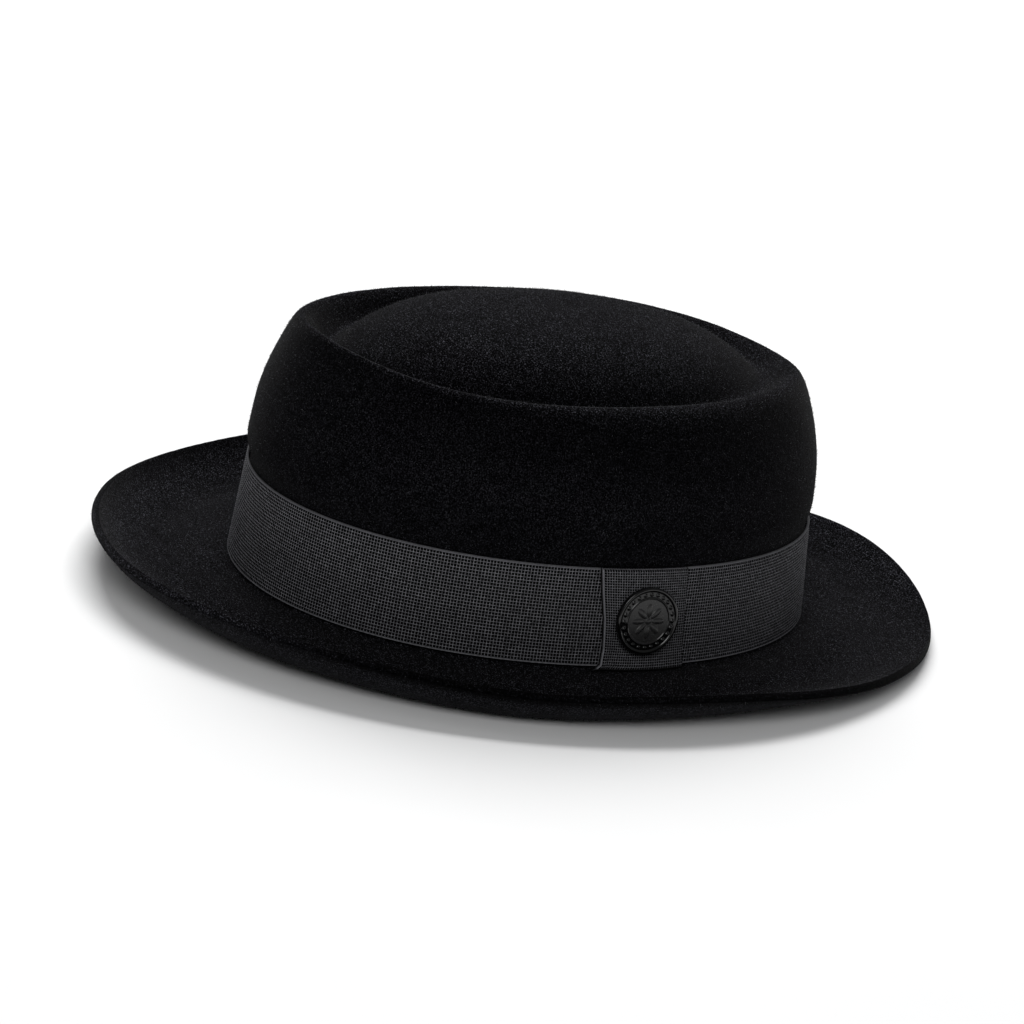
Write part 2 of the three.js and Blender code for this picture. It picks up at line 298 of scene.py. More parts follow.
def felt_grid():
    """All rings of the closed felt: outer face, cut edge and the inner face one thickness below."""
    rings, crest_at, band_top, band_foot = felt_outer()
    normal = felt_normals(rings)
    up = normal[-1]
    out = unit(rings[-1] - rings[-2], 1)
    ragged = 1 + RAGGED_SHARE * handmade(rings[-1], RAGGED_SIZE, RAGGED_SEED)
    edge = []
    for turn in (30, 60, 90):
        a = math.radians(turn)
        edge.append((math.sin(a), 1 - math.cos(a)))
    deep = FELT_THICKNESS / EDGE_ROUND
    edge += [(CUT_BULGE, 0.35 * deep), (CUT_BULGE, 0.65 * deep)]
    edge += [(across, deep - down) for across, down in reversed(edge[:3])]
    cut = []
    for across, down in edge:
        cut.append(rings[-1] + (out * across * ragged[:, None] - up * down) * EDGE_ROUND)
    under = rings - normal * FELT_THICKNESS
    keep = [*range(0, band_top, 2), *range(band_top, band_foot, 2), *range(band_foot, len(rings))]
    inner = under[keep][::-1]
    grid = np.concatenate([rings, np.stack(cut), inner])
    return grid, rings, normal, (crest_at, band_top, band_foot)


def lean_of(points):
    """The angle by which the hat leans when the lowest places of its front and rear halves are level."""
    y, z = points[:, 1], points[:, 2]
    lean = 0.0
    for _ in range(LEAN_PASSES):
        height = z * math.cos(lean) + y * math.sin(lean)
        front = np.argmin(np.where(y < 0, height, np.inf))
        rear = np.argmin(np.where(y < 0, np.inf, height))
        lean = math.atan2(z[front] - z[rear], y[rear] - y[front])
    return lean


def leaned(vectors, lean):
    return vectors @ np.array(Matrix.Rotation(lean, 3, "X")).T


def resting(points, lean, shift):
    """Points of the hat as modelled, leaned and moved onto the table."""
    return leaned(points, lean) + shift


def closed_rings(grid, wrap_rows=False):
    """Quads of a grid of closed rings. The last ring joins the first, or else each end gets a fan."""
    rows, count = grid.shape[:2]
    points = grid.reshape(-1, 3)
    ring = np.arange(rows - 1)[:, None] * count
    here = ring + np.arange(count)
    right = ring + (np.arange(count) + 1) % count
    faces = np.stack([here, right, right + count, here + count], -1).reshape(-1, 4).tolist()
    base = (rows - 1) * count
    pairs = [(j, (j + 1) % count) for j in range(count)]
    if wrap_rows:
        faces += [[base + j, base + k, k, j] for j, k in pairs]
        return points, faces
    first, last = len(points), len(points) + 1
    for j, k in pairs:
        faces.append([first, k, j])
        faces.append([last, base + j, base + k])
    return np.concatenate([points, [grid[0].mean(0), grid[-1].mean(0)]]), faces


def mesh_object(name, points, faces, material):
    mesh = bpy.data.meshes.new(name)
    mesh.from_pydata(points.tolist(), [], faces)
    mesh.polygons.foreach_set("use_smooth", np.ones(len(mesh.polygons), bool))
    mesh.materials.append(material)
    mesh.validate()
    made = bpy.data.objects.new(name, mesh)
    bpy.context.scene.collection.objects.link(made)
    face_outward(mesh)
    return made


def face_outward(mesh):
    """Turns all faces over if the closed mesh is inside out."""
    points = np.empty(len(mesh.vertices) * 3)
    mesh.vertices.foreach_get("co", points)
    points = points.reshape(-1, 3)
    mesh.calc_loop_triangles()
    corners = np.empty(len(mesh.loop_triangles) * 3, int)
    mesh.loop_triangles.foreach_get("vertices", corners)
    a, b, c = (points[corners[k::3]] for k in range(3))
    if np.einsum("ij,ij->i", a, np.cross(b, c)).sum() < 0:
        mesh.flip_normals()


def point_values(made, name, values):
    """Writes one number a point, for the material to read."""
    layer = made.data.attributes.new(name, "FLOAT", "POINT")
    layer.data.foreach_set("value", values.astype(np.float32))


# Ribbon weave
WEAVE_PITCH = 1.03 * MM
HOLE_DEPTH = 0.34 * MM
THREAD_LIFT = 0.05 * MM
SELVEDGE = 0.5 * MM
KEEPER_PITCH = 0.86 * MM
CHART = "OFBake"

# The ribbon's corded edge as shares of the selvedge and millimetres outward, and the ribbon's plain back
CORD_PROFILE = ((0.0, -0.55), (0.05, -0.16), (0.3, 0.06), (0.58, -0.12), (0.72, -0.36))
BACK_SHARES = (0.97, 0.5, 0.03)
CORD_BEAD = 0.05 * MM
RIBBON_SLACK = 0.12 * MM
SLACK_SIZE = 30 * MM
SLACK_SEED = 5.5
SLACK_SHARE = 0.6


def steps_round(angle, share, outside):
    """Lengths of the steps between these angles round the crown."""
    return np.linalg.norm(np.diff(wall(angle, share, outside), axis=0), axis=1)


def around_length(share, outside):
    return steps_round(np.linspace(0, 360, 721), share, outside).sum()


def even_angles(count, share, outside):
    """Angles at even steps of length round the crown."""
    angle = np.linspace(0, 360, 1441)
    run = np.concatenate([[0], np.cumsum(steps_round(angle, share, outside))])
    return np.interp(np.arange(count) / count * run[-1], run, angle)


def weave_relief(columns, rows, step):
    """How far each point of a woven face stands out. A hole lies at each step-th point."""
    i, j = np.meshgrid(columns, rows)
    hole = (i % step == 0) & (j % step == 0)
    crossing = (i % step != 0) & (j % step != 0)
    over = ((i // step + j // step) % 2) * 2 - 1
    return np.where(hole, -HOLE_DEPTH, np.where(crossing, over * THREAD_LIFT, 0))


def set_chart(made, uv_of_vertex, wrap=0):
    """Writes a piece's own flat coordinates. wrap is the span after which they start again."""
    mesh = made.data
    layer = mesh.uv_layers.new(name=CHART)
    corners = np.empty(len(mesh.loops), int)
    mesh.loops.foreach_get("vertex_index", corners)
    uv = uv_of_vertex[corners]
    if wrap:
        starts = np.empty(len(mesh.polygons), int)
        totals = np.empty(len(mesh.polygons), int)
        mesh.polygons.foreach_get("loop_start", starts)
        mesh.polygons.foreach_get("loop_total", totals)
        order = np.argsort(starts)
        face = np.repeat(order, totals[order])
        high = np.full(len(starts), -np.inf)
        np.maximum.at(high, face, uv[:, 0])
        behind = high[face] - uv[:, 0] > wrap / 2
        uv[behind, 0] += wrap
    layer.uv.foreach_set("vector", uv.astype(np.float32).ravel())


def ribbon_band(lean, shift):
    """The band as a closed ring: a woven front with a corded edge at top and bottom, and a plain back."""
    length = around_length(0.5, RIBBON_STAND_OFF)
    cells = round(length / WEAVE_PITCH / 2) * 2
    woven_height = RIBBON_HEIGHT - 2 * SELVEDGE
    rows = round(woven_height / WEAVE_PITCH)
    count = 2 * cells
    angle = even_angles(count, 0.5, RIBBON_STAND_OFF)
    woven = np.arange(2 * rows + 1)
    relief = weave_relief(np.arange(count), woven + 1, 2)

    lines = [(up * SELVEDGE, out * MM) for up, out in CORD_PROFILE]
    lines += [(SELVEDGE + woven_height * k / (2 * rows), relief[k]) for k in woven]
    lines += [(RIBBON_HEIGHT - up * SELVEDGE, out * MM) for up, out in reversed(CORD_PROFILE)]
    lines += [(up * RIBBON_HEIGHT, -RIBBON_THICKNESS) for up in BACK_SHARES]
    beads = CORD_BEAD * np.sin(np.arange(count) * math.pi / 2)
    low_cord = range(1, 4)
    high_cord = range(len(lines) - 7, len(lines) - 4)
    rings = []
    for k, (up, out) in enumerate(lines):
        if k in low_cord or k in high_cord:
            out = out + beads
        rings.append(wall(angle, up / RIBBON_HEIGHT, RIBBON_STAND_OFF + out))
    grid = np.stack(rings)
    slack = RIBBON_SLACK * handmade(grid, SLACK_SIZE, SLACK_SEED)
    outward = wall(angle, 0.5, RIBBON_STAND_OFF + MM) - wall(angle, 0.5, RIBBON_STAND_OFF)
    grid = grid + outward[None] / MM * (RIBBON_SLACK + slack)[..., None] * SLACK_SHARE

    # The chart runs once up the band and starts again after each tile along it.
    tiles = round(length / RIBBON_HEIGHT)
    u = np.arange(count) / count * tiles
    v = np.array([up for up, _ in lines]) / RIBBON_HEIGHT
    chart_rows = rows * RIBBON_HEIGHT / woven_height
    look = weave_look(
        "ribbon", (cells / tiles, chart_rows), (0, SELVEDGE / RIBBON_HEIGHT * chart_rows + 0.5),
        (EVERYWHERE, (-0.4, rows - 0.6)), BAND_TONE, BAND_HOLE, BAND_HEM_SHADE,
    )
    points, faces = closed_rings(resting(grid, lean, shift), wrap_rows=True)
    made = mesh_object("ribbon_band_woven", points, faces, look)
    set_chart(made, np.stack([np.tile(u, len(v)), np.repeat(v, count)], -1), tiles)
    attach(made, "root")
    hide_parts("ribbon_band")


# The keeper's front edge: shares of its height, and how far the edge lies towards the back in millimetres
KEEPER_EDGE = ((0, 0.025, 0.06, 0.2, 0.35, 0.5, 0.75, 1), (-2, 0.3, 1.7, 2.4, 2, 1.35, -0.5, -2))
# The back edge: millimetres towards the back at the bottom, and how many less at the top
KEEPER_BACK_EDGE = 1.2
KEEPER_BACK_SLANT = 2.5
# Lines along the front and back edges: height, place and half width in millimetres
KEEPER_CORD = (0.16, 0.4, 0.25)
KEEPER_GROOVE = (-0.3, 0.95, 0.2)
KEEPER_BACK_LINE = (-0.12, 0.9, 0.2)
KEEPER_FOLD = 0.7 * MM
KEEPER_BELLY = 0.35 * MM
KEEPER_SAG = 0.5 * MM
KEEPER_CORNER_LIFT = 0.9 * MM
KEEPER_FOOT_LIFT = 0.8 * MM
KEEPER_BACK_GAP = 0.02 * MM


def raised_line(distance, height, spot, half_width):
    """A soft raised or sunk line along an edge: distance is in metres, its sizes are in millimetres."""
    return height * MM * np.exp(-((distance - spot * MM) / (half_width * MM)) ** 2)


def ribbon_keeper(lean, shift):
    """The keeper: a piece of ribbon folded over the band, its front woven and its edges turned back."""
    outer = KEEPER_OUT + KEEPER_THICKNESS
    degree = wall(KEEPER_ANGLE + 0.5, 0.5, outer) - wall(KEEPER_ANGLE - 0.5, 0.5, outer)
    across_cells = round(KEEPER_WIDTH / KEEPER_PITCH)
    up_cells = round(KEEPER_HEIGHT / KEEPER_PITCH)
    s = np.linspace(0, 1, 3 * across_cells + 1)
    h = np.linspace(0, 1, 3 * up_cells + 1)
    across, up = np.meshgrid(s, h)
    from_front = across * KEEPER_WIDTH
    from_back = (1 - across) * KEEPER_WIDTH
    to_edge = np.minimum.reduce([from_front, from_back, up * KEEPER_HEIGHT, (1 - up) * KEEPER_HEIGHT])
    relief = weave_relief(np.arange(len(s)) + 2, np.arange(len(h)) + 2, 3)
    relief = relief * smooth(to_edge, 0.3 * MM, 0.6 * MM) * smooth(from_front, 0.7 * MM, 1.0 * MM)
    turned = np.clip(1 - to_edge / KEEPER_FOLD, 0, 1)
    front = KEEPER_THICKNESS * np.sqrt(np.clip(1 - turned**2, 0, 1))
    cord = raised_line(from_front, *KEEPER_CORD)
    groove = raised_line(from_front, *KEEPER_GROOVE)
    back_line = raised_line(from_back, *KEEPER_BACK_LINE)
    front = front + (relief + cord + groove + back_line) * (1 - turned)

    # The foot and its front corner stand off the band, and the panel narrows a little upward at the back.
    corner = smooth(1 - up, 0.6, 1) ** 1.5 * smooth(1 - across, 0.86, 1)
    lift = KEEPER_CORNER_LIFT * corner + KEEPER_FOOT_LIFT * smooth(1 - up, 0.8, 1)
    side = np.interp(up, *KEEPER_EDGE) * MM * (1 - across) ** 2
    side = side + (KEEPER_BACK_EDGE - KEEPER_BACK_SLANT * up) * MM * across
    belly = KEEPER_BELLY * np.sin(math.pi * across) * np.sin(math.pi * up)
    angle = KEEPER_ANGLE + ((across - 0.5) * KEEPER_WIDTH + side) / np.linalg.norm(degree)
    above = mix(KEEPER_LOW, KEEPER_HIGH, up) - KEEPER_SAG * (1 - up) * np.sin(math.pi * across)
    face = wall(angle, up, KEEPER_OUT + (front + belly) + lift, above)
    back = wall(angle, up, KEEPER_OUT + KEEPER_BACK_GAP + lift, above)
    rows, columns = across.shape
    points = np.concatenate([face.reshape(-1, 3), back[1:-1, 1:-1].reshape(-1, 3)])

    # Face and back share the points along the panel's edges.
    index = np.arange(rows * columns).reshape(rows, columns)
    behind = index.copy()
    inner = np.arange((rows - 2) * (columns - 2)).reshape(rows - 2, columns - 2)
    behind[1:-1, 1:-1] = rows * columns + inner
    faces = []
    for grid, order in ((index, (0, 1, 2, 3)), (behind, (0, 3, 2, 1))):
        corners = np.stack([grid[:-1, :-1], grid[:-1, 1:], grid[1:, 1:], grid[1:, :-1]], -1)
        faces += corners[..., order].reshape(-1, 4).tolist()
    look = weave_look(
        "ribbon_keeper", (across_cells, up_cells), (1 / 3, 1 / 3),
        ((0.55, 1000), EVERYWHERE), KEEPER_TONE, KEEPER_HOLE, KEEPER_HEM_SHADE, KEEPER_BORDER_SHADE,
    )
    made = mesh_object("ribbon_keeper_woven", resting(points, lean, shift), faces, look)
    uv = np.stack([across, up], -1)
    set_chart(made, np.concatenate([uv.reshape(-1, 2), uv[1:-1, 1:-1].reshape(-1, 2)]))
    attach(made, "root")
    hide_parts("ribbon_keeper")


# Badge: a rim, a channel of studs, a bead and a disc with petals, from the outside in
BADGE_RADIUS = 11.1 * MM
BADGE_THICKNESS = 2 * MM
BADGE_RIM = 1.3 * MM
BADGE_CHANNEL = 1.8 * MM
BADGE_BEAD = 0.6 * MM
BADGE_RELIEF = 0.35 * MM
BADGE_FIELD = BADGE_THICKNESS - BADGE_RELIEF
BADGE_CORNER = 0.5 * MM
BADGE_STUDS = 24
BADGE_PETALS = 8
BADGE_AROUND = 288
BADGE_RINGS = 92
CHANNEL_EDGE = BADGE_RADIUS - BADGE_RIM
BEAD_EDGE = CHANNEL_EDGE - BADGE_CHANNEL
DISC_EDGE = BEAD_EDGE - BADGE_BEAD

# Heights as shares of the relief, widths as shares of the channel's width or of the disc's radius
BEAD_RISE = 0.7
STUD_RADIUS = 0.34
PETAL_RISE = 0.8
PETAL_MIDDLE = 0.48
PETAL_HALF_LENGTH = 0.3
PETAL_HALF_WIDTH = 0.13
BOSS_RISE = 0.9
BOSS_RADIUS = 0.13


def round_top(distance, half_width):
    """A half-round raised shape: 1 along its middle line and 0 past its half width."""
    return np.sqrt(np.clip(1 - (distance / half_width) ** 2, 0, 1))


def repeated(turn, count):
    """The angle from the middle of the nearest of count even places."""
    half = math.pi / count
    return (turn + half) % (2 * half) - half


def badge_face(radius, turn):
    """Height of the badge's face at each radius and angle."""
    rim = round_top(radius - (BADGE_RADIUS - BADGE_RIM / 2), BADGE_RIM / 2)
    bead = BEAD_RISE * round_top(radius - (BEAD_EDGE - BADGE_BEAD / 2), BADGE_BEAD / 2)
    middle = (CHANNEL_EDGE + BEAD_EDGE) / 2
    stud = np.hypot(radius - middle, repeated(turn, BADGE_STUDS) * middle)
    studs = round_top(stud, BADGE_CHANNEL * STUD_RADIUS)
    petal_turn = repeated(turn, BADGE_PETALS)
    along = (radius * np.cos(petal_turn) - DISC_EDGE * PETAL_MIDDLE) / PETAL_HALF_LENGTH
    beside = radius * np.sin(petal_turn) / PETAL_HALF_WIDTH
    petals = PETAL_RISE * round_top(np.hypot(along, beside), DISC_EDGE)
    boss = BOSS_RISE * round_top(radius, DISC_EDGE * BOSS_RADIUS)
    return BADGE_FIELD + BADGE_RELIEF * np.maximum.reduce([rim, bead, studs, petals, boss])


def pin_badge(material, lean, shift):
    """The badge, from the middle of its face over the rim to the middle of its back."""
    turn = np.arange(BADGE_AROUND) / BADGE_AROUND * FULL_TURN
    even = np.ones(BADGE_AROUND)
    radii = np.linspace(0.06 * MM, BADGE_RADIUS - 0.02 * MM, BADGE_RINGS)
    rings = [(r, badge_face(r * even, turn)) for r in radii]
    for height in (BADGE_FIELD * 0.9, BADGE_FIELD * 0.6, BADGE_CORNER):
        rings.append((BADGE_RADIUS, height * even))
    for step in (30, 60, 90):
        a = math.radians(step)
        radius = BADGE_RADIUS - BADGE_CORNER * (1 - math.cos(a))
        rings.append((radius, BADGE_CORNER * (1 - math.sin(a)) * even))
    rings.append((BADGE_RADIUS * 0.5, 0 * even))
    grid = np.stack([
        np.stack([r * np.cos(turn), r * np.sin(turn), height], -1) for r, height in rings
    ])
    out = KEEPER_OUT + KEEPER_THICKNESS + CLEARANCE
    up = unit(wall(KEEPER_ANGLE, 1, out) - wall(KEEPER_ANGLE, 0, out))
    around = unit(wall(KEEPER_ANGLE + 1, 0.5, out) - wall(KEEPER_ANGLE - 1, 0.5, out))
    axes = np.stack([around, up, np.cross(around, up)])
    grid = wall(KEEPER_ANGLE, 0.5, out) + grid @ axes
    points, faces = closed_rings(resting(grid, lean, shift))
    made = mesh_object("pin_badge_relief", points, faces, material)

    # The disc is the face's rings inside the bead and the fan point in its middle, without the back.
    disc = np.repeat([r < DISC_EDGE for r, _ in rings[:-1]], BADGE_AROUND)
    point_values(made, "disc", np.concatenate([disc, 0 * even, [1, 0]]))
    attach(made, "root")
    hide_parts("pin_badge")


# Nap: short fibres that stand out of the felt
NAP_LENGTH = (0.3 * MM, 1.1 * MM)
NAP_SHORTNESS = 2.5
NAP_TILT = (12, 80)
NAP_ROOT = 0.06 * MM
NAP_SUNK = 0.08 * MM
NAP_SEED = 11
NAP_COUNTS = {"top": 32000, "wall": 24000, "brim": 38000, "edge": 16000}
CHART_SPREAD = 0.004


def nap(name, rings, normals, count, seed, material):
    """Fibres on a grid of rings, each a thin three-sided spike that leans its own way."""
    random = np.random.default_rng(seed)
    a, b = rings[:-1], rings[1:]
    a2, b2 = np.roll(a, -1, axis=1), np.roll(b, -1, axis=1)
    area = np.linalg.norm(np.cross(b - a, a2 - a), axis=2)
    chance = (area / area.sum()).ravel()
    pick = random.choice(len(chance), count, p=chance)
    i, j = np.divmod(pick, rings.shape[1])
    s, t = random.random((2, count, 1))
    root = mix(mix(a[i, j], a2[i, j], s), mix(b[i, j], b2[i, j], s), t)
    up = unit(mix(normals[i, j], normals[i + 1, j], t))
    brushed = unit(a2[i, j] - a[i, j])
    side = np.cross(up, brushed)
    swing = random.uniform(-math.pi, math.pi, (count, 1))
    flat = brushed * np.cos(swing) + side * np.sin(swing)
    tilt = np.radians(random.uniform(*NAP_TILT, (count, 1)))
    direction = up * np.cos(tilt) + flat * np.sin(tilt)
    length = mix(*NAP_LENGTH, random.random((count, 1)) ** NAP_SHORTNESS)
    first = unit(np.cross(direction, side))
    second = np.cross(direction, first)
    start = root - up * NAP_SUNK
    corners = []
    for k in range(3):
        turn = FULL_TURN * k / 3
        corners.append(start + (first * math.cos(turn) + second * math.sin(turn)) * NAP_ROOT)
    corners.append(start + direction * (length + NAP_SUNK))
    points = np.stack(corners, 1).reshape(-1, 3)
    points[:, 2] = np.maximum(points[:, 2], 0)
    base = np.arange(count)[:, None] * 4
    spike = np.array([[0, 1, 3], [1, 2, 3], [2, 0, 3], [0, 2, 1]])
    faces = (base[:, :, None] + spike[None]).reshape(-1, 3)
    made = mesh_object(name, points, faces.tolist(), material)

    # Along U each fibre has its own tone, and V goes from its root to its tip.
    tone = np.repeat(random.random(count), 4)
    spread = np.tile([-CHART_SPREAD, CHART_SPREAD, 0, 0], count)
    along = np.tile([0, 0, 0, 1], count)
    set_chart(made, np.stack([np.clip(tone + spread, 0, 1), along], -1))
    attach(made, "root")


class Look:
    """A material with a Principled shader, and short ways to add and link nodes."""

    def __init__(self, name, **constants):
        self.material = bpy.data.materials.new(name)
        self.material.use_nodes = True
        self.tree = self.material.node_tree
        self.shader = self.tree.nodes["Principled BSDF"]
        for socket, value in constants.items():
            self.shader.inputs[socket.replace("_", " ")].default_value = value

    def node(self, kind, inputs=None, **settings):
        made = self.tree.nodes.new("ShaderNode" + kind)
        for key, value in settings.items():
            setattr(made, key, value)
        for key, value in (inputs or {}).items():
            self.feed(made.inputs[key], value)
        return made

    def feed(self, socket, value):
        if isinstance(value, bpy.types.NodeSocket):
            self.tree.links.new(value, socket)
        else:
            socket.default_value = value

    def math(self, operation, *values):
        made = self.node("Math", operation=operation)
        for k, value in enumerate(values):
            self.feed(made.inputs[k], value)
        return made.outputs[0]

    def noise(self, where, size, detail, rough=0.5):
        inputs = {"Vector": where, "Scale": 1 / size, "Detail": detail, "Roughness": rough}
        return self.node("TexNoise", inputs).outputs["Fac"]

    def ramp(self, value, *stops):
        """Colours between stops of (place, grey or colour)."""
        made = self.node("ValToRGB", {"Fac": value})
        ramp = made.color_ramp
        while len(ramp.elements) < len(stops):
            ramp.elements.new(0.5)
        for element, (spot, colour) in zip(ramp.elements, stops):
            element.position = spot
            element.color = (*colour, 1) if isinstance(colour, tuple) else (colour, colour, colour, 1)
        return made.outputs["Color"]

    def blend(self, share, a, b, kind="MIX"):
        made = self.node("Mix", data_type="RGBA", blend_type=kind)
        for key, value in ((0, share), (6, a), (7, b)):
            self.feed(made.inputs[key], value)
        return made.outputs[2]

    def multiply(self, a, b, share=1.0):
        return self.blend(share, a, b, "MULTIPLY")

    def bump(self, height, distance, strength, normal=None):
        inputs = {"Height": height, "Distance": distance, "Strength": strength}
        if normal is not None:
            inputs["Normal"] = normal
        return self.node("Bump", inputs).outputs["Normal"]

    def set(self, socket, value):
        self.feed(self.shader.inputs[socket], value)

    def place(self):
        return self.node("TexCoord").outputs["Object"]

    def value(self, name):
        """The number that point_values wrote under this name."""
        return self.node("Attribute", attribute_name=name).outputs["Fac"]

    def parts(self, vector):
        return self.node("SeparateXYZ", {"Vector": vector}).outputs

    def chart(self):
        return self.parts(self.node("UVMap", uv_map=CHART).outputs["UV"])


def grey(value):
    """A cool grey, as the ribbon's threads are."""
    return (value, value, value * 1.08)


# Felt colours. The tones of crown and brim are painted light and shade, and run from faces that look down,
# at 0,
# to faces that look up, at 1: the brim's underside is painted lighter, faces that look half up on the crown
# and the brim's flat top are painted darker.
FIBRE_SIZE = 0.48 * MM
TUFT_SIZE = 2.2 * MM
CLOUD_SIZE = 16 * MM
FELT_BLACK = ((0.3, (0.0036, 0.0036, 0.0043)), (0.72, (0.0051, 0.0051, 0.006)))
FELT_SPECK = ((0.38, 0.12), (0.5, 0.7), (0.60, 2.4), (0.72, 6))
FELT_TUFT = ((0.3, 0.72), (0.7, 1.32))
CROWN_PAINTED_SHADING = ((0.4, 0.95), (0.54, 0.82), (0.6, 0.92), (0.7, 0.62), (0.8, 0.44), (0.9, 0.56), (0.985, 0.7))
BRIM_PAINTED_SHADING = ((0.15, 1.9), (0.4, 1.2), (0.52, 1.15), (0.75, 1.3), (0.92, 1.12), (0.99, 0.56))
# Up-facing felt gets its specks a second time: partly the felt's grain, partly painted sheen of lit fibres
# on top.
TOP_SPECK_AND_SHEEN = ((0.75, 0.0), (0.97, 0.8))
# Painted shade on the cut edge and the underside just inside it, darkest where cut is 1.
CUT_EDGE_SHADE = ((0, 1.0), (1, 0.18))
NAP_TONES = ((0.2, (0.005, 0.005, 0.0055)), (0.75, (0.036, 0.036, 0.039)), (1, (0.16, 0.16, 0.17)))
NAP_ALONG = ((0, 0.5), (1, 1.1))


def felt_look():
    look = Look("felt", Roughness=0.95, Specular_IOR_Level=0.0, Sheen_Weight=0.034, Sheen_Roughness=0.4)
    where = look.place()
    fibre = look.noise(where, FIBRE_SIZE, 2, 0.65)
    tuft = look.noise(where, TUFT_SIZE, 3, 0.6)
    cloud = look.noise(where, CLOUD_SIZE, 3, 0.55)
    facing = look.parts(look.node("TexCoord").outputs["Normal"])["Z"]
    upward = look.math("MULTIPLY_ADD", facing, 0.5, 0.5)
    # Painted light and shade: crown and brim are lighter or darker by how far each face looks up.
    crown_painted_shading = look.ramp(upward, *CROWN_PAINTED_SHADING)
    brim_painted_shading = look.ramp(upward, *BRIM_PAINTED_SHADING)
    speck = look.ramp(fibre, *FELT_SPECK)
    colour = look.multiply(look.ramp(cloud, *FELT_BLACK), speck)
    colour = look.multiply(colour, look.ramp(tuft, *FELT_TUFT))
    colour = look.multiply(colour, look.blend(look.value("brim"), crown_painted_shading, brim_painted_shading))
    # Stronger specks on faces that look up: grain with painted sheen.
    colour = look.multiply(colour, speck, look.ramp(upward, *TOP_SPECK_AND_SHEEN))
    # Painted shade on the cut edge, darkest at the sides of the hat.
    colour = look.multiply(colour, look.ramp(look.value("cut"), *CUT_EDGE_SHADE))
    look.set("Base Color", colour)
    fine = look.bump(fibre, 0.16 * MM, 0.9)
    look.set("Normal", look.bump(tuft, 0.25 * MM, 0.7, fine))
    return look.material


def nap_look():
    look = Look("felt_nap", Roughness=0.75, Specular_IOR_Level=0.02)
    chart = look.chart()
    shade = look.ramp(chart["X"], *NAP_TONES)
    look.set("Base Color", look.multiply(shade, look.ramp(chart["Y"], *NAP_ALONG)))
    return look.material


# How light the thread is, how far a hole reaches as a share of a cell, and cells without an end
BAND_TONE = 0.325
BAND_HOLE = 0.485
KEEPER_TONE = 0.225
KEEPER_HOLE = 0.46
EVERYWHERE = (-1000, 1000)

# Painted shade of the thread at shares of the ribbon's height, and at shares of the keeper's height and
# width:
# the band darker at its corded edges, the keeper darker along its foot, its folded front edge and its back
# edge.
BAND_HEM_SHADE = ((0, 0.35), (0.012, 0.62), (0.03, 1), (0.97, 1), (0.985, 0.5), (1, 0.3))
# Painted shadow: the keeper's lowest rows are near black; near the top fold the thread is a little lighter,
# then darker.
KEEPER_HEM_SHADE = ((0, 0.05), (0.024, 0.1), (0.034, 0.9), (0.05, 1), (0.97, 1), (0.985, 1.1), (1, 0.7))
# Painted shade across the keeper: dark on the side of its folded front edge and in a line beside the cord,
# and darker at the back edge.
KEEPER_BORDER_SHADE = (
    (0, 0.05), (0.005, 0.08), (0.009, 0.95), (0.018, 0.9),
    (0.022, 0.25), (0.032, 1), (0.975, 1), (0.985, 0.4),
)
THREAD_DARK = 0.62
THREAD_LIGHT = 1.35
THREAD_CLOUD = ((0.3, 0.94), (0.7, 1.06))
# The holes are near black: partly what lies dark behind the weave, partly painted shade in the holes.
HOLE_SHADE_BLACK = (*grey(0.0008), 1)
HOLE_WOBBLE = 0.14
HOLE_SOFTNESS = 0.08


